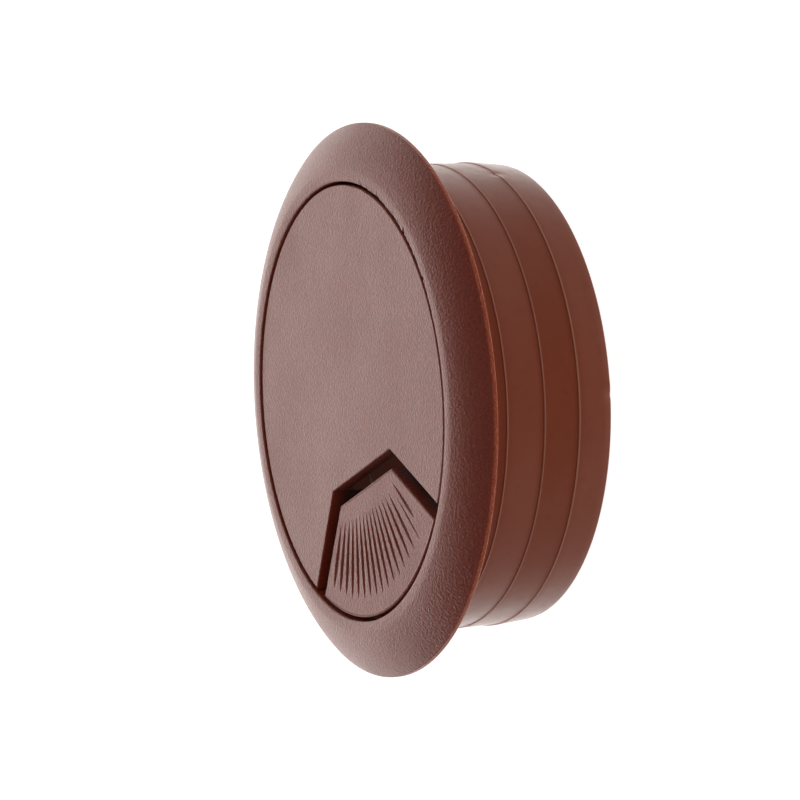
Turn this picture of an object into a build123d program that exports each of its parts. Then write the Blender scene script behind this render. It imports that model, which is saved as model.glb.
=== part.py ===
from build123d import *
import os
from math import asin, atan2, cos, degrees, hypot, radians, sin, sqrt, tan

# Desk grommet for a 60 mm hole: a flanged sleeve, a turning cover and a sprung cable flap.
# Millimetres.  Z = 0 is the desk top, where the flange's flat underside sits; +Z is up.
# The cable slot opens towards -Y.

# liner: flange
flange_radius = 35.0
flange_edge = 0.7           # thickness left at the rim
flange_edge_round = 0.2
lip_height = 3.64           # top of the flat lip above the desk
lip_width = 1.5
lip_round = 0.25
dome_start_angle = 12.0     # slope where the dome leaves the lip, degrees

# liner: sleeve
sleeve_depth = 18.3         # below the desk top
sleeve_radius = 29.75       # straight band under the flange, which sits in the hole
band_depths = (3.7, 8.9, 13.6)        # steps, measured down from the desk top
band_radii = (29.87, 29.6, 29.65)     # radius just past each step
step_height = 0.2           # each tapered band ends this much short of the next one's radius
step_slope = 0.15           # depth over which a step rises
sleeve_end_radius = 29.2
sleeve_wall = 1.5
sleeve_end_round = 0.3
ledge_width = 0.8           # seat for the cover, inside the sleeve
ledge_height = 1.2

# cover
cover_radius = 27.3
cover_gap = 0.4             # round the cover, inside the lip
cover_recess = 0.14         # cover face below the lip
cover_thickness = 2.0
cover_round = 0.2
skirt_depth = 7.5           # from the cover face to the ledge
skirt_wall = 1.6
rib_wall = 1.5
rib_depth = 6.0             # from the cover face
slot_half_angle = 45.4      # degrees each side of -Y
slot_start = 9.05           # straight inner edge of the slot, from the centre
slot_corner_round = 0.3

# snap hooks under the cover
hook_angles = (90.0, -14.0, 194.0)    # degrees about Z
hook_span = 14.0            # degrees
hook_wall = 1.0
hook_reach = 0.45           # past the ledge's inner edge
hook_height = 1.4
hook_clearance = 0.3        # beside and below the ledge

# flap
flap_gap = 2.25             # to the three sides of the slot
flap_arc_inset = 0.1        # flap's arc inside the cover's radius
flap_plate = 1.3
flap_fall = 0.2             # how far the inner edge sits below the cover face
flap_wall = 1.2
flap_wall_depth = 3.0
flap_round = 0.2
flap_corner_round = 0.3

# fan grooves in the flap
groove_count = 17
groove_fan_angle = 76.4     # between the outermost grooves, degrees
groove_focus = 2.3          # where the grooves would meet, from the centre
groove_outer_radius = 24.9
groove_inner_margin = 2.3   # from the flap's inner edge
groove_side_margin = 1.0    # from the flap's sides
groove_depth = 0.3
groove_width = 0.62

# hinge pin and spring
hinge_inset = 2.15          # pin axis beyond the flap's inner edge
hinge_drop = 3.08           # pin axis below the cover face
pin_radius = 0.75
pin_running_gap = 0.05
pin_end_gap = 0.3           # pin's ends short of the bosses' outer faces
pin_chamfer = 0.15
boss_radius = 1.9
boss_length = 2.6
knuckle_radius = 1.9
knuckle_length = 4.0
knuckle_offset = 4.6        # middle of a knuckle from the flap's centre line
wire_radius = 0.2
coil_radius = 1.05          # to the wire's centre
coil_turns = 7
coil_pitch = 0.45
fixed_leg = 6.6             # towards the centre, under the cover
moving_leg = 6.0            # towards the rim, under the flap
leg_gap = 0.04              # under the cover and under the flap
notch_room = 0.5            # beside the spring, in the flap's inner wall
coil_clearance = 0.3        # between the coil and the flap, all round

# places worked out from the sizes
cover_face = lip_height - cover_recess
cover_under = cover_face - cover_thickness
bore_radius = cover_radius + cover_gap
ledge_radius = bore_radius - ledge_width
ledge_top = cover_face - skirt_depth
ledge_under = ledge_top - ledge_height
flap_radius = cover_radius - flap_arc_inset
flap_start = slot_start + flap_gap
hinge_y = -(flap_start + hinge_inset)
hinge_z = cover_face - hinge_drop
plate_under = cover_face - flap_fall - flap_plate
coil_half = coil_turns * coil_pitch / 2 + wire_radius
far = 2 * flange_radius
slot_tan = tan(radians(slot_half_angle))
same_place = 0.01           # edges this close to a wanted place are the wanted ones


def ring(outer, inner, bottom, top):
    """Tube about Z between two heights."""
    body = Cylinder(outer, top - bottom, align=(Align.CENTER, Align.CENTER, Align.MIN))
    hole = Cylinder(inner, top - bottom, align=(Align.CENTER, Align.CENTER, Align.MIN))
    return Pos(0, 0, bottom) * (body - hole)


def rod(radius, x_from, x_to):
    """Round bar along X on the hinge axis."""
    bar = Cylinder(radius, x_to - x_from, align=(Align.CENTER, Align.CENTER, Align.MIN))
    return Pos(x_from, hinge_y, hinge_z) * Rot(0, 90, 0) * bar


def prism(points, bottom, top):
    """Upright prism over a closed outline."""
    face = make_face(Polyline(*points, close=True))
    return Pos(0, 0, bottom) * extrude(face, top - bottom)


def sector(inset, bottom, top):
    """The slot's wedge, cut off straight near the centre, moved in by inset on its three sides."""
    inner = slot_start + inset
    # a side moved in by inset meets the centre line this much further out
    shift = inset / sin(radians(slot_half_angle))
    half_in = (inner - shift) * slot_tan
    half_out = (far - shift) * slot_tan
    outline = [(-half_in, -inner), (-half_out, -far), (half_out, -far), (half_in, -inner)]
    return prism(outline, bottom, top)


def round_edges(solid, edges, radius):
    return fillet(edges, radius) if len(edges) else solid


def upright_near_corner(solid, y, bottom, top):
    """Upright edges of the solid that stand on the straight inner side at this y."""
    found = []
    for edge in solid.edges().filter_by(Axis.Z):
        middle = edge.center()
        if abs(middle.Y - y) < same_place and bottom < middle.Z < top:
            found.append(edge)
    return ShapeList(found)


def liner():
    """One turned profile: dome, lip, bore, seat ledge and stepped sleeve."""
    dome_r = bore_radius + lip_width
    end_r = sleeve_end_radius - sleeve_wall
    start = (cos(radians(dome_start_angle)), -sin(radians(dome_start_angle)))
    outside = [(flange_radius, 0), (sleeve_radius, 0)]
    band_ends = [sleeve_radius] + [radius - step_height for radius in band_radii[1:]]
    for depth, end, radius in zip(band_depths, band_ends, band_radii):
        outside.append((end, -depth))
        outside.append((radius, -depth - step_slope))
    outside.append((sleeve_end_radius, -sleeve_depth))
    inside = [
        (end_r, -sleeve_depth),
        (end_r, ledge_under),
        (ledge_radius, ledge_under),
        (ledge_radius, ledge_top),
        (bore_radius, ledge_top),
        (bore_radius, lip_height),
    ]
    dome = TangentArc((dome_r, lip_height), (flange_radius, flange_edge), tangent=start)
    walls = Polyline((flange_radius, flange_edge), *outside, *inside, (dome_r, lip_height))
    profile = Plane.XZ * make_face(dome + walls)
    solid = revolve(profile, Axis.Z)
    rims = solid.edges().filter_by(GeomType.CIRCLE)

    def rim(radius, z):
        level = rims.filter_by(lambda e: abs(e.center().Z - z) < same_place)
        return level.filter_by(lambda e: abs(e.radius - radius) < same_place)

    solid = fillet(rim(flange_radius, 0) + rim(flange_radius, flange_edge), flange_edge_round)
    rims = solid.edges().filter_by(GeomType.CIRCLE)
    solid = fillet(rim(bore_radius, lip_height), lip_round)
    rims = solid.edges().filter_by(GeomType.CIRCLE)
    solid = fillet(rim(sleeve_end_radius, -sleeve_depth), sleeve_end_round)
    return solid


def slot_ribs():
    """Walls under the cover along the two long sides of the slot, with bosses for the pin."""
    wide = sector(-rib_wall, cover_face - rib_depth, cover_under)
    behind = Pos(0, -slot_start, 0) * Box(far, far, far, align=(Align.CENTER, Align.MIN, Align.CENTER))
    inside = Cylinder(cover_radius - skirt_wall / 2, far)
    ribs = (wide - behind) & inside
    reach = -hinge_y * slot_tan
    bosses = rod(boss_radius, -reach - boss_length, reach + boss_length)
    bosses &= Pos(0, 0, cover_under) * Box(far, far, far, align=(Align.CENTER, Align.CENTER, Align.MAX))
    return ribs + bosses


def snap_hook(angle):
    """Springy leg that drops past the ledge and hooks under it."""
    outer = ledge_radius - hook_clearance
    catch_top = ledge_under - hook_clearance
    catch_r = ledge_radius + hook_reach
    bottom = catch_top - hook_height
    outline = [
        (outer - hook_wall, ledge_top + hook_wall),
        (outer, ledge_top + hook_wall),
        (outer, catch_top),
        (catch_r, catch_top),
        (catch_r, catch_top - hook_height / 2),
        (outer, bottom),
        (outer - hook_wall, bottom),
    ]
    profile = Plane.XZ * make_face(Polyline(*outline, close=True))
    leg = revolve(profile, Axis.Z, revolution_arc=hook_span)
    return Rot(0, 0, angle - hook_span / 2) * leg


def cover():
    """Disc with a skirt, cut through by the cable slot."""
    disc = Pos(0, 0, cover_under) * Cylinder(
        cover_radius, cover_thickness, align=(Align.CENTER, Align.CENTER, Align.MIN)
    )
    solid = disc + ring(cover_radius, cover_radius - skirt_wall, ledge_top, cover_under)
    solid += slot_ribs()
    for angle in hook_angles:
        solid += snap_hook(angle)
    solid -= sector(0, -far, far)
    reach = -hinge_y * slot_tan + boss_length
    solid -= rod(pin_radius, -reach, reach)
    corners = upright_near_corner(solid, -slot_start, cover_under, cover_face)
    solid = round_edges(solid, corners, slot_corner_round)
    top = solid.faces().sort_by(Axis.Z)[-1]
    return fillet(top.edges(), cover_round)


def groove_lines():
    """Start point, direction and length of each fan groove, seen from above."""
    lines = []
    step = groove_fan_angle / (groove_count - 1)
    side = radians(slot_half_angle)
    side_shift = (flap_gap + groove_side_margin) / sin(side)
    for i in range(groove_count):
        angle = radians(i * step - groove_fan_angle / 2)
        across, along = sin(angle), -cos(angle)
        # along the ray from the focus: out to the groove circle, in to a line beside the inner edge
        reach = groove_focus * cos(angle)
        far_end = -reach + sqrt(groove_outer_radius ** 2 - groove_focus ** 2 + reach ** 2)
        near_end = (flap_start + groove_inner_margin - groove_focus) / cos(angle)
        # a ray steeper than the flap's side would leave it; stop where it meets the side margin
        closing = abs(across) - cos(angle) * tan(side)
        if closing > 0:
            far_end = min(far_end, (groove_focus - side_shift) * tan(side) / closing)
        point = (across * near_end, -groove_focus + along * near_end)
        lines.append((point, degrees(atan2(along, across)), far_end - near_end))
    return lines


def groove_cutter(length):
    """Sharp-edged wheel whose rim cuts a groove that is pointed at both ends."""
    wheel = length ** 2 / (8 * groove_depth)
    half_v = groove_width / 2 / groove_depth
    height = 2 * groove_depth * half_v
    cone = Cone(wheel, wheel - height / half_v, height, align=(Align.CENTER, Align.CENTER, Align.MIN))
    both = cone + mirror(cone, about=Plane.XY)
    return Pos(0, 0, wheel - groove_depth) * Rot(90, 0, 0) * both


def flap():
    """Fan-shaped tray: plate on top, walls round it, knuckles on the hinge axis."""
    disc = Cylinder(flap_radius, far)
    bottom = cover_face - flap_wall_depth
    outside = sector(flap_gap, bottom, cover_face) & disc
    hollow = sector(flap_gap + flap_wall, bottom, plate_under)
    hollow &= Cylinder(flap_radius - flap_wall, far)
    slope = degrees(atan2(flap_fall, flap_radius - flap_start))
    above = Box(far, far, far, align=(Align.CENTER, Align.CENTER, Align.MIN))
    above = Pos(0, -flap_radius, cover_face) * Rot(-slope, 0, 0) * above
    solid = outside - above
    corners = upright_near_corner(solid, -flap_start, bottom, cover_face)
    solid = round_edges(solid, corners, flap_corner_round)
    top = solid.faces().sort_by(Axis.Z)[-1]
    solid = fillet(top.edges(), flap_round)
    solid -= hollow
    # notch in the inner wall for the spring's coil and its fixed leg
    notch_size = (2 * coil_half + 2 * notch_room, 2 * flap_wall, far)
    notch = Box(*notch_size, align=(Align.CENTER, Align.CENTER, Align.MAX))
    solid -= Pos(0, -flap_start, plate_under) * notch
    solid -= rod(coil_radius + wire_radius + coil_clearance, -coil_half - notch_room, coil_half + notch_room)
    # room over the moving leg, which starts from the coil's top
    leg_room = Box(notch_size[0], moving_leg, 2 * coil_radius, align=(Align.CENTER, Align.MAX, Align.MAX))
    solid -= Pos(0, hinge_y, hinge_z + coil_radius + wire_radius + leg_gap) * leg_room
    below_plate = Pos(0, 0, cover_face - flap_fall - flap_plate / 2) * Box(
        far, far, far, align=(Align.CENTER, Align.CENTER, Align.MAX)
    )
    for side in (-1, 1):
        middle = side * knuckle_offset
        knuckle = rod(knuckle_radius, middle - knuckle_length / 2, middle + knuckle_length / 2)
        solid += knuckle & below_plate
    solid -= rod(pin_radius + pin_running_gap, -far, far)
    for point, heading, length in groove_lines():
        x = point[0] + cos(radians(heading)) * length / 2
        y = point[1] + sin(radians(heading)) * length / 2
        z = cover_face - tan(radians(slope)) * (y + flap_radius)
        solid -= Pos(x, y, z) * Rot(-slope, 0, 0) * Rot(0, 0, heading) * groove_cutter(length)
    return solid


def hinge_pin():
    reach = -hinge_y * slot_tan + boss_length - pin_end_gap
    pin = rod(pin_radius, -reach, reach)
    return chamfer(pin.edges().filter_by(GeomType.CIRCLE), pin_chamfer)


def leg_slope(distance, height):
    """Slope of the line that leaves the coil's top and passes this far out at this height, degrees."""
    return degrees(asin(coil_radius / hypot(distance, height)) - atan2(height, distance))


def flap_spring():
    """Torsion spring round the pin, from one wire: leg under the cover, coil, leg under the flap."""
    wire_room = leg_gap + wire_radius
    fall = leg_slope(-slot_start - hinge_y, cover_under - wire_room - hinge_z)
    rise = -leg_slope(moving_leg, plate_under - wire_room - hinge_z)
    height = (coil_turns + (fall - rise) / 360) * coil_pitch
    wound = Plane(origin=(-height / 2, hinge_y, hinge_z), x_dir=(0, 0, 1), z_dir=(1, 0, 0))
    coil = wound * Rot(0, 0, -fall) * Helix(coil_pitch, height, coil_radius)
    start, finish = coil @ 0, coil @ 1
    first = Line(start - (coil % 0) * fixed_leg, start)
    last = Line(finish, finish + (coil % 1) * moving_leg)
    path = Wire([first, *coil.edges(), last])
    section = Plane(origin=path @ 0, z_dir=path % 0) * Circle(wire_radius)
    return sweep(section, path=path, is_frenet=True)


os.makedirs("parts", exist_ok=True)
pieces = {
    "liner": liner,
    "cover": cover,
    "flap": flap,
    "hinge_pin": hinge_pin,
    "flap_spring": flap_spring,
}
for name, make in pieces.items():
    piece = make()
    piece.label = name
    export_step(piece, "parts/" + name + ".step")
    print(name, "solids", len(piece.solids()), "volume", round(piece.volume, 1))
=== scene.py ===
import bmesh
import bpy
import numpy as np
from mathutils import Matrix, Vector


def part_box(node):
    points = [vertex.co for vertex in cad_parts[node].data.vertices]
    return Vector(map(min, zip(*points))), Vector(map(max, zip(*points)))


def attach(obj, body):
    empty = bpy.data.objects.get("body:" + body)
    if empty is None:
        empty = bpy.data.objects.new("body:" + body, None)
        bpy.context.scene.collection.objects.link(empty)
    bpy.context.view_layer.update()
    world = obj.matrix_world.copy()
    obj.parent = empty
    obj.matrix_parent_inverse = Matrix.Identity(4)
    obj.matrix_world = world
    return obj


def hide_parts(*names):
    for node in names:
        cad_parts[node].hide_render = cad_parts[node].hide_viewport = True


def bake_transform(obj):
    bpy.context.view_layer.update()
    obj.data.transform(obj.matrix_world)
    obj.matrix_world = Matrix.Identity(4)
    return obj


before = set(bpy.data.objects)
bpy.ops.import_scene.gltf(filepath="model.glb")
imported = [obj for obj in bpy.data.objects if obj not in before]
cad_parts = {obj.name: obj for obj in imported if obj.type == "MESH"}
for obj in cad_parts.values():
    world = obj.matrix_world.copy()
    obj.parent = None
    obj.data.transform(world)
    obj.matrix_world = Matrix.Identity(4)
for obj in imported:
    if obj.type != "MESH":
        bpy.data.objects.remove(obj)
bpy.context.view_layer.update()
print("frame loaded:", ", ".join(sorted(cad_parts)))

# A desk grommet: a flanged sleeve, a turning cover and a sprung cable flap.
# Sizes in the dictionaries are in millimetres and degrees, the scene is in metres.
mm = 0.001
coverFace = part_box("cover")[1][2] / mm
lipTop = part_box("liner")[1][2] / mm
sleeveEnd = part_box("liner")[0][2] / mm
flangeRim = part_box("liner")[1][0] / mm - 0.01


# ---- meshes out of grids of points

# quad (i, j): the neighbours i..i+1 by j..j+1 of a rows x cols grid; a wrapped side closes on itself
def gridQuads(rows, cols, wrapRows, wrapCols):
    i, j = np.meshgrid(np.arange(rows - (not wrapRows)), np.arange(cols - (not wrapCols)), indexing="ij")
    i2, j2 = (i + 1) % rows, (j + 1) % cols
    return np.stack([i * cols + j, i2 * cols + j, i2 * cols + j2, i * cols + j2], -1).reshape(-1, 4)


# one mesh from several grids; faces point along (change by row) x (change by column)
def pieceFromGrids(name, grids, finishes, weld=0.0005):
    points, quads, slots, marks = [], [], [], []
    first = 0
    for grid in grids:
        xyz = grid["points"]
        rows, cols = xyz.shape[:2]
        faces = gridQuads(rows, cols, grid.get("wrapRows", False), grid.get("wrapCols", False))
        if grid.get("flip"):
            faces = faces[:, ::-1]
        points.append(xyz.reshape(-1, 3) * mm)
        quads.append(faces + first)
        slots.append(np.broadcast_to(grid.get("slot", 0), len(faces)))
        marks.append(np.broadcast_to(grid.get("edge", 0.0), (rows, cols)).reshape(-1))
        first += rows * cols
    points, quads = np.concatenate(points), np.concatenate(quads)
    mesh = bpy.data.meshes.new(name)
    mesh.vertices.add(len(points))
    mesh.vertices.foreach_set("co", points.ravel())
    mesh.loops.add(quads.size)
    mesh.loops.foreach_set("vertex_index", quads.ravel().astype(np.int32))
    mesh.polygons.add(len(quads))
    mesh.polygons.foreach_set("loop_start", np.arange(len(quads), dtype=np.int32) * 4)
    mesh.polygons.foreach_set("material_index", np.concatenate(slots).astype(np.int32))
    mesh.update(calc_edges=True)
    # the mesh's attribute of painted light: above 0 painted highlight, below 0 painted shade
    edge = mesh.attributes.new("paintedLightAndShade", "FLOAT", "POINT")
    edge.data.foreach_set("value", np.concatenate(marks).astype(np.float32))
    shape = bmesh.new()
    shape.from_mesh(mesh)
    bmesh.ops.remove_doubles(shape, verts=shape.verts, dist=weld * mm)
    bmesh.ops.dissolve_degenerate(shape, edges=shape.edges, dist=weld * mm)
    shape.to_mesh(mesh)
    shape.free()
    mesh.polygons.foreach_set("use_smooth", np.ones(len(mesh.polygons), bool))
    for finish in finishes:
        mesh.materials.append(finish)
    piece = bpy.data.objects.new(name, mesh)
    bpy.context.collection.objects.link(piece)
    return piece


# closed outline through the corners (x, y, radius): each corner is an arc of that radius touching both
# its sides, centre = corner + (direction halfway between them) x radius / sin(half the corner's angle)
def roundedOutline(corners, arcSteps):
    corner = np.array([c[:2] for c in corners], float)
    before, after = np.roll(corner, 1, 0) - corner, np.roll(corner, -1, 0) - corner
    before /= np.linalg.norm(before, axis=1, keepdims=True)
    after /= np.linalg.norm(after, axis=1, keepdims=True)
    outline = []
    for k, (x, y, radius) in enumerate(corners):
        if radius == 0:
            outline.append(corner[k][None])
            continue
        half = np.arccos(np.clip(before[k] @ after[k], -1, 1)) / 2
        inward = before[k] + after[k]
        centre = corner[k] + inward / np.linalg.norm(inward) * radius / np.sin(half)
        start = corner[k] + before[k] * radius / np.tan(half) - centre
        turn = (np.pi - 2 * half) * np.sign(before[k][0] * after[k][1] - before[k][1] * after[k][0])
        t = -turn * np.linspace(0, 1, arcSteps + 1)[:, None]
        arcX = np.cos(t) * start[0] - np.sin(t) * start[1]
        arcY = np.sin(t) * start[0] + np.cos(t) * start[1]
        outline.append(centre + np.hstack([arcX, arcY]))
    return np.concatenate(outline)


# the closed outline with extra points on its long stretches: a + (b - a) x i / n, at most longest apart
def filled(outline, longest):
    stretches = []
    for a, b in zip(outline, np.roll(outline, -1, 0)):
        n = max(1, int(np.ceil(np.hypot(*(b - a)) / longest)))
        stretches.append(a + (b - a) * (np.arange(n) / n)[:, None])
    return np.concatenate(stretches)


# profile (r, z) turned about Z: (r cos a, r sin a, z)
def turned(profile, angles):
    r, z = profile[:, 0][:, None], profile[:, 1][:, None]
    return np.stack([r * np.cos(angles), r * np.sin(angles), z + 0 * angles], -1)


# round wire: circle of the wire's radius, carried along the line square to its direction
def wireAlong(line, radius, sides=14):
    along = np.gradient(line, axis=0)
    along /= np.linalg.norm(along, axis=1, keepdims=True)
    side = np.cross(along, np.array([1.0, 0, 0]))
    side /= np.linalg.norm(side, axis=1, keepdims=True)
    up = np.cross(side, along)
    t = np.linspace(0, 2 * np.pi, sides, endpoint=False)
    ring = side[:, None] * np.cos(t)[:, None] + up[:, None] * np.sin(t)[:, None]
    # the ends close to a point through a slightly rounded rim
    shrink = np.ones(len(line) + 4)
    shrink[[0, -1]], shrink[[1, -2]] = 0.0, 0.8
    index = np.clip(np.arange(-2, len(line) + 2), 0, len(line) - 1)
    return line[index][:, None] + ring[index] * (radius * shrink)[:, None, None]


# ---- finishes

# a node with its sockets set, by name or as _number; another node's output gets a link
def add(tree, kind, outputs=(), **sockets):
    node = tree.nodes.new(kind)
    for name, value in outputs:
        setattr(node, name, value)
    for name, value in sockets.items():
        socket = node.inputs[int(name[1:])] if name[0] == "_" else node.inputs[name.replace("_", " ")]
        if isinstance(value, bpy.types.NodeSocket):
            tree.links.new(value, socket)
        else:
            socket.default_value = value
    return node


# an empty material and its tree
def newFinish(name):
    finish = bpy.data.materials.new(name)
    finish.use_nodes = True
    finish.node_tree.nodes.clear()
    return finish, finish.node_tree


# noise from 0 to 1 whose lumps are about size across
def noise(tree, place, size, detail=2.0, roughness=0.5):
    made = add(tree, "ShaderNodeTexNoise", Vector=place, Scale=1 / (size * mm), Detail=detail,
               Roughness=roughness)
    return made.outputs["Fac"]


# low..high to toLow..toHigh along a straight line, held at both ends
def ranged(tree, value, low, high, toLow, toHigh):
    return add(tree, "ShaderNodeMapRange", _0=value, _1=low, _2=high, _3=toLow, _4=toHigh).outputs[0]


# a and b put together by the named operation
def maths(tree, kind, a, b=0.0):
    return add(tree, "ShaderNodeMath", [("operation", kind)], _0=a, _1=b).outputs[0]


# colour a x (1 - share) + b x share, or the two blended in another way
def mixed(tree, share, a, b, blend="MIX"):
    made = tree.nodes.new("ShaderNodeMix")
    made.data_type = "RGBA"
    made.blend_type = blend
    for socket, value in ((made.inputs[0], share), (made.inputs[6], a), (made.inputs[7], b)):
        if isinstance(value, bpy.types.NodeSocket):
            tree.links.new(value, socket)
        else:
            socket.default_value = value if isinstance(value, float) else (*value, 1.0)
    return made.outputs[2]


# moulded plastic: colour = base with slow cloudiness and fine specks, painted glow and highlights where
# the mesh attribute is above 0, painted shade in grooves, slots and the bore where it is below 0 or down
# from a height; surface = spark-eroded grain (pits of one size, noise between them) over a faint waviness
def mouldedPlastic(name, look):
    finish, tree = newFinish(name)
    place = add(tree, "ShaderNodeTexCoord").outputs["Object"]
    cloud = noise(tree, place, look["cloudSize"], 3.0)
    speck = noise(tree, place, look["speckSize"], 2.0, 0.7)
    base = mixed(tree, ranged(tree, cloud, 0.3, 0.7, 0.0, 1.0), look["base"], look["cloud"])
    for tone, start, full in (("speck", *look["speckAbove"]), ("pale", *look["paleBelow"])):
        base = mixed(tree, ranged(tree, speck, start, full, 0.0, look["speckShare"]), base, look[tone])
    edge = add(tree, "ShaderNodeAttribute", [("attribute_name", "paintedLightAndShade")]).outputs["Fac"]
    # painted highlight: where the attribute is above 0 the colour turns to the painted highlight colour
    base = mixed(tree, ranged(tree, edge, 0.0, 1.0, 0.0, 1.0), base, look["paintedHighlight"])
    # painted shade: where the attribute is below 0, or the surface lies lower than the shade heights, the
    # colour turns to the dark shade colour
    level = add(tree, "ShaderNodeSeparateXYZ", Vector=place).outputs[2]
    inside = maths(tree, "MAXIMUM", ranged(tree, edge, 0.0, -1.0, 0.0, 1.0),
                   ranged(tree, level, look["shadeFrom"] * mm, look["shadeTo"] * mm, 0.0, 1.0))
    base = mixed(tree, inside, base, look["deep"])
    grain = noise(tree, place, look["grainSize"], 2.0, 0.6)
    pits = add(tree, "ShaderNodeTexVoronoi", [("feature", "SMOOTH_F1")], Vector=place,
               Scale=1 / (look["grainSize"] * look["pitSize"] * mm), Smoothness=0.4).outputs["Distance"]
    relief = maths(tree, "ADD", grain, maths(tree, "MULTIPLY", pits, look["pitShare"]))
    bump = add(tree, "ShaderNodeBump", Height=relief, Strength=look["grainStrength"],
               Distance=look["grainHeight"] * mm)
    wave = noise(tree, place, look["waveSize"], 1.0)
    bump = add(tree, "ShaderNodeBump", Height=wave, Strength=1.0, Distance=look["waveHeight"] * mm,
               Normal=bump.outputs[0])
    rough = ranged(tree, maths(tree, "ADD", cloud, speck), 0.7, 1.3, *look["roughness"])
    shader = add(tree, "ShaderNodeBsdfPrincipled", Base_Color=base, Roughness=rough,
                 Normal=bump.outputs[0], Specular_IOR_Level=look["gloss"], IOR=1.5)
    add(tree, "ShaderNodeOutputMaterial", Surface=shader.outputs[0])
    return finish


# drawn steel wire: fine lines along the wire's own length in roughness and bump
def drawnSteel(name, look):
    finish, tree = newFinish(name)
    place = add(tree, "ShaderNodeTexCoord").outputs["Object"]
    stretched = add(tree, "ShaderNodeMapping", Vector=place, Scale=look["stretch"]).outputs[0]
    lines = noise(tree, stretched, look["lineSize"], 3.0, 0.6)
    stain = noise(tree, place, look["stainSize"], 3.0)
    base = mixed(tree, ranged(tree, stain, 0.35, 0.75, 0.0, 1.0), look["base"], look["stain"])
    bump = add(tree, "ShaderNodeBump", Height=lines, Strength=0.5, Distance=look["lineHeight"] * mm)
    rough = ranged(tree, lines, 0.3, 0.7, *look["roughness"])
    shader = add(tree, "ShaderNodeBsdfPrincipled", Base_Color=base, Roughness=rough,
                 Normal=bump.outputs[0], Metallic=1.0)
    add(tree, "ShaderNodeOutputMaterial", Surface=shader.outputs[0])
    return finish


# colours are (red, green, blue) in linear light, sizes are in millimetres
grainedLook = {
    "base": (0.208, 0.024, 0.008),
    "cloud": (0.197, 0.021, 0.0065),
    "speck": (0.100, 0.009, 0.003),
    "pale": (0.285, 0.040, 0.015),
    # painted highlight colour: the glow of light through the thin rim and the light caught on step edges
    "paintedHighlight": (0.360, 0.050, 0.005),
    # painted shade colour, for grooves, slots, the bore and the flap's hidden faces
    "deep": (0.038, 0.006, 0.003),
    "shadeFrom": -100.0,          # heights between which painted shade darkens it, here below the whole piece
    "shadeTo": -101.0,
    "cloudSize": 9.0,
    "speckSize": 0.30,
    "speckShare": 0.6,
    "speckAbove": (0.54, 0.70),  # noise levels where the dark specks start and are full
    "paleBelow": (0.46, 0.30),   # and the same for the pale ones
    "grainSize": 0.28,
    "grainStrength": 1.0,
    "grainHeight": 0.095,
    "pitSize": 1.3,              # against the grain's
    "pitShare": 0.6,
    "waveSize": 6.0,
    "waveHeight": 0.02,
    "roughness": (0.43, 0.50),
    "gloss": 0.34,
}
# the cover gets painted shade from just under its face down its slot walls
coverLook = dict(grainedLook, shadeFrom=coverFace - 0.25, shadeTo=coverFace - 2.2)
flapLook = dict(grainedLook, gloss=0.26)
satinLook = dict(
    grainedLook,
    base=(0.246, 0.044, 0.013),
    cloud=(0.234, 0.039, 0.011),
    pale=(0.262, 0.055, 0.018),
    # painted highlight colour for the light caught on the sleeve's step edges
    paintedHighlight=(0.520, 0.235, 0.165),
    speckShare=0.1,
    speckSize=1.2,
    grainSize=0.12,
    grainHeight=0.002,
    waveSize=5.0,
    waveHeight=0.04,
    roughness=(0.32, 0.40),
    gloss=0.22,
)
steelLook = {
    "base": (0.42, 0.42, 0.43),
    "stain": (0.30, 0.29, 0.28),
    "stretch": (0.08, 1.0, 1.0),
    "lineSize": 0.05,
    "lineHeight": 0.004,
    "stainSize": 1.5,
    "roughness": (0.22, 0.38),
}
springLook = dict(steelLook, base=(0.150, 0.095, 0.075), stain=(0.100, 0.065, 0.050),
                  stretch=(1.0, 1.0, 1.0), roughness=(0.55, 0.7))
grainedBrown = mouldedPlastic("grainedBrown", grainedLook)
coverBrown = mouldedPlastic("coverBrown", coverLook)
flapBrown = mouldedPlastic("flapBrown", flapLook)
satinBrown = mouldedPlastic("satinBrown", satinLook)
pinSteel = drawnSteel("pinSteel", steelLook)
springSteel = drawnSteel("springSteel", springLook)
print("finishes made")


# ---- the liner: flange and stepped sleeve, one turned profile

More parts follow.
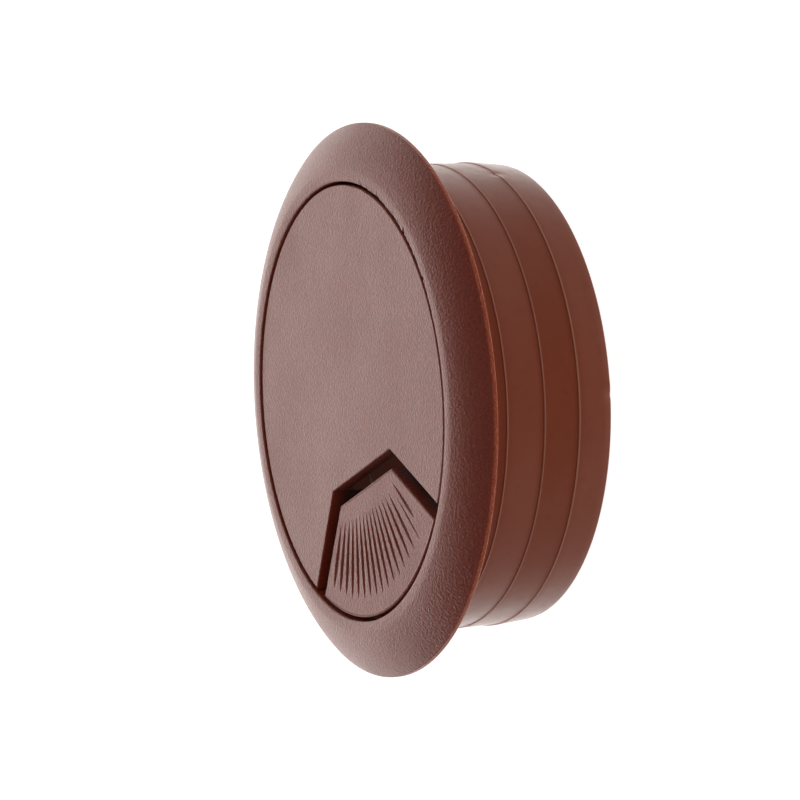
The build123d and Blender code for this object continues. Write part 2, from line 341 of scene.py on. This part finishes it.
linerShape = {
    "bore": 27.7,
    "lipWidth": 1.5,
    "lipRound": 0.25,
    "boreRound": 0.12,
    "ledgeRound": 0.1,
    "domeSlope": 12.0,           # where the dome leaves the lip
    "domePoints": 20,
    "rimThickness": 0.7,
    "rimRound": 0.2,
    "ledge": (26.9, -4.0, -5.2),  # radius, top, underside
    "bandUnderFlange": 29.75,
    # depth, radius above, radius below, strength of the painted highlight on its edge
    "steps": ((-3.7, 29.745, 29.87, 1.0), (-8.9, 29.45, 29.6, 0.8), (-13.6, 29.5, 29.65, 0.95)),
    "stepSlope": 0.06,
    "stepRounds": (0.08, 0.04),  # in its inner corner and on its edge
    "endRadius": 29.2,
    "endRound": 0.3,
    "boreShade": 0.4,             # how much painted shade darkens the bore's colour
    "cornerSteps": 4,
    "longest": 0.9,              # between two points of the profile
    "around": 240,
    "ragged": (4.0, 64.0),       # where the lip's inner edge is ragged
    "raggedSteps": 420,
    "raggedBite": 0.12,          # how deep it is cut, without the nicks
    "raggedSmooth": 7,           # steps that one lump takes
    "raggedDown": 0.5,           # how far it also sinks, against how deep it is cut
    "raggedWidth": (0.75, 0.3),  # it reaches this far into the lip, the last part fading out
    "raggedHeight": (0.9, 0.3),  # it reaches this far down the bore, and sinks down to the second
    "nicks": (                   # angle, depth, half-width in degrees
        (29.8, 0.15, 0.40),
        (14.2, 0.14, 0.35),
        (47.2, 0.08, 0.8),
        (54.0, 0.07, 0.9),
        (57.0, 0.09, 0.6),
        (21.0, 0.05, 0.9),
    ),
    "wornWidth": 0.2,            # the band along each step's edge, and how much it narrows
    "wornFall": 0.003,
    "highlightBand": (0.05, -0.12),   # the painted highlight lies between these heights from the edge
    "outsideFrom": (28.8, 0.3),  # radius where the outside wall starts, and over how much
    # moulding flaws on the sleeve: angle, height, deepest (+ is out), half-sizes along the rim and up it
    "flaws": (
        (51.3, -13.75, -0.16, 0.9, 0.30),
        (48.9, -13.45, 0.07, 0.7, 0.25),
        (13.3, -17.1, -0.05, 1.0, 0.12),
        (14.3, -16.95, 0.03, 0.5, 0.12),
        (-18.5, -18.15, -0.22, 0.35, 0.30),
        (-15.9, -18.20, 0.05, 0.5, 0.20),
    ),
}


# dome from the lip to the rim: the arc that leaves the lip at the given slope and ends on the rim's
# top edge, radius = chord^2 / (2 x the chord's distance from the tangent)
def domeArc(start, end, slope, steps):
    tangent = np.array([np.cos(slope), -np.sin(slope)])
    chord = end - start
    radius = chord @ chord / (2 * abs(tangent[0] * chord[1] - tangent[1] * chord[0]))
    centre = start + radius * np.array([tangent[1], -tangent[0]])
    a0, a1 = (np.arctan2(*(point - centre)[::-1]) for point in (start, end))
    t = np.linspace(a0, a1, steps)
    return centre + radius * np.stack([np.cos(t), np.sin(t)], -1)


# liner: the profile (r, z) turned about Z, its lip and its sleeve then marked with the moulding's flaws
def buildLiner(shape):
    bore = shape["bore"]
    ledgeRadius, ledgeTop, ledgeUnder = shape["ledge"]
    lipEnd = np.array([bore + shape["lipWidth"], lipTop])
    rimTop = np.array([flangeRim, shape["rimThickness"]])
    dome = domeArc(lipEnd, rimTop, np.radians(shape["domeSlope"]), shape["domePoints"])
    corners = [
        (bore, sleeveEnd, shape["boreRound"]),
        (bore, ledgeUnder, shape["boreRound"]),
        (ledgeRadius, ledgeUnder, shape["ledgeRound"]),
        (ledgeRadius, ledgeTop, shape["ledgeRound"]),
        (bore, ledgeTop, shape["boreRound"]),
        (bore, lipTop, shape["lipRound"]),
    ]
    corners += [(*p, 0) for p in dome[:-1]]
    corners += [
        (flangeRim, shape["rimThickness"], shape["rimRound"]),
        (flangeRim, 0, shape["rimRound"]),
        (shape["bandUnderFlange"], 0, shape["rimRound"]),
    ]
    for depth, above, below, edgeHighlight in shape["steps"]:
        foot = depth - shape["stepSlope"]
        corners += [(above, depth, shape["stepRounds"][0]), (below, foot, shape["stepRounds"][1])]
        corners += [(below - shape["wornFall"], foot - shape["wornWidth"], 0)]
    corners += [(shape["endRadius"], sleeveEnd, shape["endRound"])]
    profile = filled(roundedOutline(corners, shape["cornerSteps"]), shape["longest"])
    r, z = profile.T
    # columns: evenly all round, and much closer together along the ragged part of the lip
    ragged = np.radians(shape["ragged"])
    even = np.linspace(ragged[1], 2 * np.pi + ragged[0], shape["around"], endpoint=False)
    angles = np.concatenate([np.linspace(*ragged, shape["raggedSteps"], endpoint=False), even])
    points = turned(profile, angles)
    # ragged lip: its inner top edge goes outwards and down by smoothed noise, and at each nick by a bell,
    # depth x exp(-(angle from its middle / width)^2)
    random = np.random.default_rng(7).random(shape["raggedSteps"])
    along = np.linspace(0, 1, shape["raggedSteps"])
    bell = np.hanning(shape["raggedSmooth"])
    smooth = np.convolve(random, bell / bell.sum(), "same")
    bite = shape["raggedBite"] * np.clip(2.4 * smooth - 0.7, 0, 1) * np.sin(np.pi * along) ** 0.5
    for at, deep, width in shape["nicks"]:
        bite += deep * np.exp(-((np.degrees(angles[:len(along)]) - at) / width) ** 2) * (0.5 + smooth)
    bite = np.concatenate([bite, np.zeros(shape["around"])])
    wide, fading = shape["raggedWidth"]
    down, sinking = shape["raggedHeight"]
    edgeOfLip = (z > lipTop - down) * np.clip((bore + wide - r) / fading, 0, 1)
    reach = edgeOfLip[:, None] * bite
    points[..., 0] += reach * np.cos(angles)
    points[..., 1] += reach * np.sin(angles)
    points[..., 2] -= reach * shape["raggedDown"] * (z > lipTop - sinking)[:, None]
    # flaws: the radius changes by depth x exp(-(along/size)^2 - (up/size)^2) on the outside wall only
    radius = np.hypot(points[..., 0], points[..., 1])
    outside = np.clip((radius - shape["outsideFrom"][0]) / shape["outsideFrom"][1], 0, 1)
    for angle, height, depth, along, up in shape["flaws"]:
        away = ((angles - np.radians(angle) + np.pi) % (2 * np.pi) - np.pi) * shape["endRadius"]
        change = depth * np.exp(-(away / along) ** 2 - ((points[..., 2] - height) / up) ** 2) * outside
        points[..., :2] *= (1 + change / radius)[..., None]
    # light-and-shade attribute: painted glow along the thin rim and painted highlights on the steps'
    # edges up, painted shade in the bore and the bites down
    paintedHighlight = np.clip((r - 34.6) / 0.2, 0, 1) * np.clip((0.85 - z) / 0.6, 0, 1)
    for depth, above, below, edgeHighlight in shape["steps"]:
        fromEdge = z - (depth - shape["stepSlope"])
        onEdge = (fromEdge < shape["highlightBand"][0]) & (fromEdge > shape["highlightBand"][1])
        paintedHighlight = paintedHighlight + edgeHighlight * (onEdge & (r > above + 0.02))
    # painted shade down the bore from 1 mm under the lip, and in the lip's bites
    inner = np.clip((bore + 0.5 - r) / 0.3, 0, shape["boreShade"])
    inner = inner * np.clip((lipTop - 1.0 - z) / 2, 0, 1)
    edge = np.repeat((paintedHighlight - inner)[:, None], len(angles), 1) - np.clip(reach * 4, 0, 0.5)
    # the flange is grained, all the rest is satin
    flange = (z > 0.02) | (r > shape["bandUnderFlange"] + 0.15)
    slots = np.repeat(np.where(flange, 0, 1), len(angles))
    grid = {"points": points, "wrapRows": True, "wrapCols": True, "slot": slots, "edge": edge}
    return pieceFromGrids("linerShell", [grid], [grainedBrown, satinBrown])


linerShell = buildLiner(linerShape)
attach(linerShell, "liner")
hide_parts("liner")
print("liner made:", len(linerShell.data.polygons), "faces")


# ---- the flap: a tray whose top is a grid of rays from the point where its two sides would meet

flapShape = {
    "halfAngle": 45.4,           # of the slot
    "slotStart": 9.05,
    "gap": 2.25,                 # between the slot and the flap
    "radius": 27.2,
    "innerFall": 0.2,            # the inner edge sits this much lower than the arc
    "edgeRound": 0.22,
    "wall": 1.2,
    "wallDepth": 3.0,
    "plateUnder": 2.0,
    "notchHalf": 2.28,
    "across": 460,               # points of the top's grid
    "along": 84,
    "hinge": (-13.45, 0.42),     # y, z
    "knuckle": (0.8, 1.9, 2.6, 6.6),   # bore, radius, from x, to x
}
grooveShape = {
    "count": 17,
    "fan": 76.4,
    "focus": 2.3,                # from the axis to the point they all run to
    "outer": 24.9,               # where they end
    "innerLine": 13.6,           # where they start, from the axis, and how much that line waves
    "innerWave": 0.35,
    "sideMargin": 1.0,
    "width": (0.86, 0.56),       # first on the -X side, last on the +X side
    "depth": (0.30, 0.26),
    "widest": 0.62,              # share of the length where a groove is widest
    # grooves that came out short in the mould: number, start and end from the focus, width share, turn
    "odd": ((16, 13.4, 20.6, 1.0, -1.4), (15, 14.7, 23.3, 0.55, 0.2)),
}


# (across a, along b, inset e) to (x, y): the ray at angle a x halfAngle from the sides' meeting point,
# b of the way from the straight inner edge to the arc, with every side moved in by e;
# x = reach x sin(t), y = -shift - reach x cos(t)
def flapPlace(a, b, e, shape):
    half = np.radians(shape["halfAngle"])
    shift = (shape["gap"] + e) / np.sin(half)
    t = a * half
    near = (shape["slotStart"] + shape["gap"] + e - shift) / np.cos(t)
    far = -shift * np.cos(t) + np.sqrt((shape["radius"] - e) ** 2 - (shift * np.sin(t)) ** 2)
    reach = near + b * (far - near)
    return reach * np.sin(t), -shift - reach * np.cos(t)


# depth of the fan: each groove is depth x swell x (1 - |off its middle| / half its width)^0.8, and its
# width swells to its widest place and runs out to a point at both ends
def grooveDepth(x, y, shape, flap):
    total = np.zeros_like(x)
    half = np.radians(flap["halfAngle"])
    sideShift = (flap["gap"] + shape["sideMargin"]) / np.sin(half)
    odd = {k: rest for k, *rest in shape["odd"]}
    for k in range(shape["count"]):
        share = k / (shape["count"] - 1)
        angle = np.radians((share - 0.5) * shape["fan"] + (odd[k][3] if k in odd else 0))
        dx, dy = np.sin(angle), -np.cos(angle)
        s = x * dx + (y + shape["focus"]) * dy
        t = x * dy - (y + shape["focus"]) * dx
        inner = shape["innerLine"] + shape["innerWave"] * np.cos(3 * angle)
        start = (inner - shape["focus"]) / np.cos(angle)
        reach = shape["focus"] * np.cos(angle)
        end = -reach + np.sqrt(shape["outer"] ** 2 - shape["focus"] ** 2 + reach ** 2)
        closing = abs(dx) + dy * np.tan(half)
        if closing > 0:
            end = min(end, (shape["focus"] - sideShift) * np.tan(half) / closing)
        width = np.interp(share, (0, 1), shape["width"])
        depth = np.interp(share, (0, 1), shape["depth"])
        if k in odd:
            start, end, thinner = odd[k][:3]
            width, depth = width * thinner, depth * thinner
        q = np.clip((s - start) / (end - start), 0, 1)
        widest = shape["widest"]
        swell = np.where(q < widest, np.sin(np.pi / 2 * q / widest) ** 0.8,
                         np.cos(np.pi / 2 * (q - widest) / (1 - widest)) ** 0.55)
        inside = np.clip(1 - np.abs(t) / (width / 2 * np.maximum(swell, 1e-3)), 0, 1)
        total = np.maximum(total, depth * swell * inside ** 0.8)
    return total


# flap: the carved top grid, then rings of the same outline moved in and down round the edge, the wall's
# foot and its inner side to the ceiling, and the two knuckles as profiles turned about the pin
def buildFlap(shape, grooves):
    a = np.linspace(-1, 1, shape["across"])
    b = np.linspace(0, 1, shape["along"])
    r = shape["edgeRound"]
    slope = shape["innerFall"] / (shape["radius"] - shape["slotStart"] - shape["gap"])

    def topHeight(y):
        return coverFace - slope * (y + shape["radius"])

    def grid(inset):
        return flapPlace(a[:, None], b[None, :], inset, shape)

    def loop(inset):
        x, y = grid(inset)
        return [np.concatenate([p[:, 0], p[-1, 1:], p[-2::-1, -1], p[0, -2:0:-1]]) for p in (x, y)]

    x, y = grid(r)
    carved = grooveDepth(x, y, grooves, shape)
    top = np.stack([x, y, topHeight(y) - carved], -1)
    rings = []
    t = np.linspace(0, np.pi / 2, 6)
    bottom = coverFace - shape["wallDepth"]
    for inset, drop in zip(r - r * np.sin(t), r - r * np.cos(t)):
        lx, ly = loop(inset)
        rings.append(np.stack([lx, ly, topHeight(ly) - drop], -1))
    # the spring's notch lifts the inner wall's foot to the plate
    lx, ly = loop(0)
    notch = (np.abs(lx) < shape["notchHalf"]) & (ly > -(shape["slotStart"] + shape["gap"]) - 0.01)
    foot = np.where(notch, shape["plateUnder"], bottom)
    wall = shape["wall"]
    # down the outside, round the foot's two small corners (inset from the outside, height from the foot)
    downWall = ((0, 0.5), (0, 0.1), (0.03, 0.03), (0.1, 0), (wall - 0.1, 0), (wall - 0.03, 0.03))
    for inset, lift in downWall:
        kx, ky = loop(inset)
        rings.append(np.stack([kx, ky, foot + lift * (foot < shape["plateUnder"])], -1))
    kx, ky = loop(wall)
    for z in (0.1, 0.5):
        rings.append(np.stack([kx, ky, np.where(notch, shape["plateUnder"], foot + z)], -1))
    rings.append(np.stack([kx, ky, 0 * kx + shape["plateUnder"]], -1))
    x, y = grid(wall)
    ceiling = np.stack([x, y, 0 * x + shape["plateUnder"]], -1)
    rings = np.array(rings)
    # painted shade: darker down the tray's walls, in the grooves, on the ceiling and on the knuckles
    wallShade = np.clip((coverFace - 0.4 - rings[..., 2]) / 1.1, 0, 1)
    grids = [
        {"points": top, "edge": -np.clip(carved / 0.6, 0, 0.4)},
        {"points": rings, "wrapCols": True, "flip": True, "edge": -wallShade},
        {"points": ceiling, "flip": True, "edge": -1.0},
    ]
    bore, radius, fromX, toX = shape["knuckle"]
    corners = [(fromX, bore, 0.1), (toX, bore, 0.1), (toX, radius, 0.15), (fromX, radius, 0.15)]
    profile = filled(roundedOutline(corners, 4), 0.8)
    t = np.linspace(0, 2 * np.pi, 64, endpoint=False)
    hingeY, hingeZ = shape["hinge"]
    for side in (1, -1):
        px, pr = side * profile[:, 0][:, None], profile[:, 1][:, None]
        tube = np.stack([px + 0 * t, hingeY + pr * np.cos(t), hingeZ + pr * np.sin(t)], -1)
        grids.append({"points": tube, "wrapRows": True, "wrapCols": True, "flip": side > 0,
                      "edge": -0.8})
    return pieceFromGrids("flapFan", grids, [flapBrown])


flapFan = buildFlap(flapShape, grooveShape)
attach(flapFan, "flap")
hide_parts("flap")
print("flap made:", len(flapFan.data.polygons), "faces")


# ---- the return spring round the pin

springShape = {
    "wire": 0.2,                 # radius
    "coil": 1.05,                # radius to the wire's middle
    "turns": 7,
    "pitch": 0.45,
    "turnPoints": 48,
    "legPoints": 12,
    "fixedLeg": 6.6,
    "movingLeg": 6.0,
    "fixedAim": (4.4, 0.84),     # from the pin: where the leg under the cover passes, out and up
    "movingAim": (6.0, 1.34),
    "hinge": flapShape["hinge"],
}


# coil: at angle t the wire is at coil radius from the pin and pitch x t / 360 along it; each leg runs
# straight on from the coil's end, so it leaves at the slope that takes it through its aim
def buildSpring(shape):
    radius, pitch = shape["coil"], shape["pitch"]
    fall, rise = (np.arcsin(radius / np.hypot(*aim)) - np.arctan2(aim[1], aim[0])
                  for aim in (shape["fixedAim"], shape["movingAim"]))
    turn = 2 * np.pi * shape["turns"] + fall + rise
    length = turn / (2 * np.pi) * pitch
    t = np.linspace(-fall, turn - fall, shape["turns"] * shape["turnPoints"])
    hingeY, hingeZ = shape["hinge"]
    x = -length / 2 + (t + fall) / (2 * np.pi) * pitch
    coil = np.stack([x, hingeY - radius * np.sin(t), hingeZ + radius * np.cos(t)], -1)
    heading = [np.array([pitch / (2 * np.pi), -radius * np.cos(end), -radius * np.sin(end)])
               for end in (t[0], t[-1])]
    heading = [h / np.linalg.norm(h) for h in heading]
    steps = np.linspace(1, 0, shape["legPoints"], endpoint=False)[:, None]
    first = coil[0] - heading[0] * shape["fixedLeg"] * steps
    last = coil[-1] + heading[1] * shape["movingLeg"] * steps[::-1]
    wire = wireAlong(np.concatenate([first, coil, last]), shape["wire"])
    return pieceFromGrids("springWire", [{"points": wire, "wrapCols": True}], [springSteel])


springWire = buildSpring(springShape)
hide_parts("flap_spring")
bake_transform(springWire)
print("spring made:", len(springWire.data.polygons), "faces")

# the cover and the pin keep their own shape and take a finish
for name, finish in (("cover", coverBrown), ("hinge_pin", pinSteel)):
    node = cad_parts[name]
    node.data.materials.clear()
    node.data.materials.append(finish)


# ---- floor, light and camera

studio = {
    "floorSize": 6.0,
    "floorWhite": (0.30, 0.30, 0.30),
    "floorGlow": 0.95,
    "insideRadius": 27.6,        # a dimmer floor inside the sleeve, seen through the gaps: painted shade, glowing softly as painted light
    "insideWhite": (0.6, 0.58, 0.56, 1),
    "insideGlow": 0.32,
    "insideTint": (1, 0.95, 0.9, 1),
    "bright": 3.25,              # the tent round the object
    "tint": (1, 0.99, 0.955, 1),
    "dark": 0.38,                # its open side
    "openSide": 40.9,            # degrees from straight up, towards the viewer
    "tentEdge": (-0.098, 0.052),  # where the tent ends, as cosines from the open side's direction
    "sidesDimmer": 0.88,         # the tent's left and right against its middle
    "topBrighter": 0.4,          # the tent's top against its middle
}
# three directions at right angles, and where the camera stands from the cover face's centre
cameraPlace = {
    "toViewer": (0.86826, -0.25395, 0.42619),
    "right": (0.39110, -0.17816, -0.90294),
    "up": (0.30523, 0.95067, -0.05537),
    "fromCoverCentre": (405.967, -118.923, 192.063),
    "lens": 166.06,
}


# floor: a glowing square at the sleeve's foot, and just above it a dimmer disc inside the sleeve, painted
# shade for the floor there that also glows softly as painted light on the sleeve's inside
def buildFloor(shape):
    finish, tree = newFinish("paleFloor")
    place = add(tree, "ShaderNodeTexCoord").outputs["Object"]
    tone = ranged(tree, noise(tree, place, 140.0, 3.0), 0.3, 0.7, 0.98, 1.0)
    colour = mixed(tree, 1.0, shape["floorWhite"], tone, "MULTIPLY")
    paper = add(tree, "ShaderNodeBsdfPrincipled", Base_Color=colour, Roughness=0.8,
                Specular_IOR_Level=0.2, Emission_Color=(1, 1, 1, 1),
                Emission_Strength=shape["floorGlow"])
    add(tree, "ShaderNodeOutputMaterial", Surface=paper.outputs[0])
    s = shape["floorSize"] / mm / 2
    corners = np.array([[(x, y, sleeveEnd) for y in (-s, s)] for x in (-s, s)])
    floor = pieceFromGrids("floor", [{"points": corners}], [finish])
    # the floor stays out of the object's own light, which comes from the tent on every side
    floor.visible_glossy = False
    floor.visible_diffuse = False
    # the disc inside the sleeve: painted shade for the shaded floor, with a soft painted glow that lights
    # the bore and the slot's walls
    inside, tree = newFinish("floorInside")
    shader = add(tree, "ShaderNodeBsdfPrincipled", Base_Color=shape["insideWhite"], Roughness=0.9,
                 Specular_IOR_Level=0.1, Emission_Color=shape["insideTint"],
                 Emission_Strength=shape["insideGlow"])
    add(tree, "ShaderNodeOutputMaterial", Surface=shader.outputs[0])
    t = np.linspace(0, 2 * np.pi, 97)[:-1]
    ring = np.array([[0.001], [shape["insideRadius"]]]) * np.stack([np.cos(t), np.sin(t)])[:, None]
    disc = np.stack([ring[0], ring[1], 0 * ring[0] + sleeveEnd + 0.02], -1)
    pieceFromGrids("floorInside", [{"points": disc, "wrapCols": True}], [inside])


# tent: strength = bright, falling smoothly to dark over tentEdge round its open side,
# x (1 - sidesDimmer x sideways^2) x (1 + topBrighter x up)
def lightTent(shape, toViewer):
    world = bpy.data.worlds.new("lightTent")
    bpy.context.scene.world = world
    world.use_nodes = True
    tree = world.node_tree
    tree.nodes.clear()
    level = Vector((toViewer[0], toViewer[1], 0)).normalized()
    lean = np.radians(shape["openSide"])
    opening = level * np.sin(lean) + Vector((0, 0, np.cos(lean)))
    direction = add(tree, "ShaderNodeTexCoord").outputs["Generated"]

    def along(axis):
        made = add(tree, "ShaderNodeVectorMath", [("operation", "DOT_PRODUCT")], _0=direction, _1=axis)
        return made.outputs["Value"]

    start, end = shape["tentEdge"]
    strength = add(tree, "ShaderNodeMapRange", [("interpolation_type", "SMOOTHSTEP")],
                   _0=along(opening), _1=start, _2=end, _3=shape["bright"], _4=shape["dark"]).outputs[0]
    sideways = maths(tree, "POWER", maths(tree, "ABSOLUTE", along(Vector((-level.y, level.x, 0)))), 2.0)
    dimmer = ranged(tree, sideways, 0, 1, 1, 1 - shape["sidesDimmer"])
    strength = maths(tree, "MULTIPLY", strength, dimmer)
    rise = shape["topBrighter"]
    up = ranged(tree, along(Vector((0, 0, 1))), -1, 1, 1 - rise, 1 + rise)
    tent = add(tree, "ShaderNodeBackground", Color=shape["tint"],
               Strength=maths(tree, "MULTIPLY", strength, up))
    plain = add(tree, "ShaderNodeBackground", Color=(1, 1, 1, 1), Strength=1.0)
    seen = add(tree, "ShaderNodeLightPath").outputs["Is Camera Ray"]
    both = add(tree, "ShaderNodeMixShader", _0=seen, _1=tent.outputs[0], _2=plain.outputs[0])
    add(tree, "ShaderNodeOutputWorld", Surface=both.outputs[0])


# camera: its axes are right, up and towards the viewer, so it looks back along the last
def placeCamera(shape):
    camera = bpy.data.objects.new("camera", bpy.data.cameras.new("camera"))
    bpy.context.collection.objects.link(camera)
    place = Vector(shape["fromCoverCentre"]) * mm + Vector((0, 0, coverFace * mm))
    axes = Matrix((shape["right"], shape["up"], shape["toViewer"])).transposed()
    camera.matrix_world = Matrix.Translation(place) @ axes.to_4x4()
    camera.data.lens = shape["lens"]
    camera.data.sensor_width = 36.0
    camera.data.clip_start = 0.01
    camera.data.clip_end = 20.0
    bpy.context.scene.camera = camera


buildFloor(studio)
lightTent(studio, cameraPlace["toViewer"])
placeCamera(cameraPlace)
bpy.context.scene.view_settings.view_transform = "Standard"
print("floor, light and camera set")
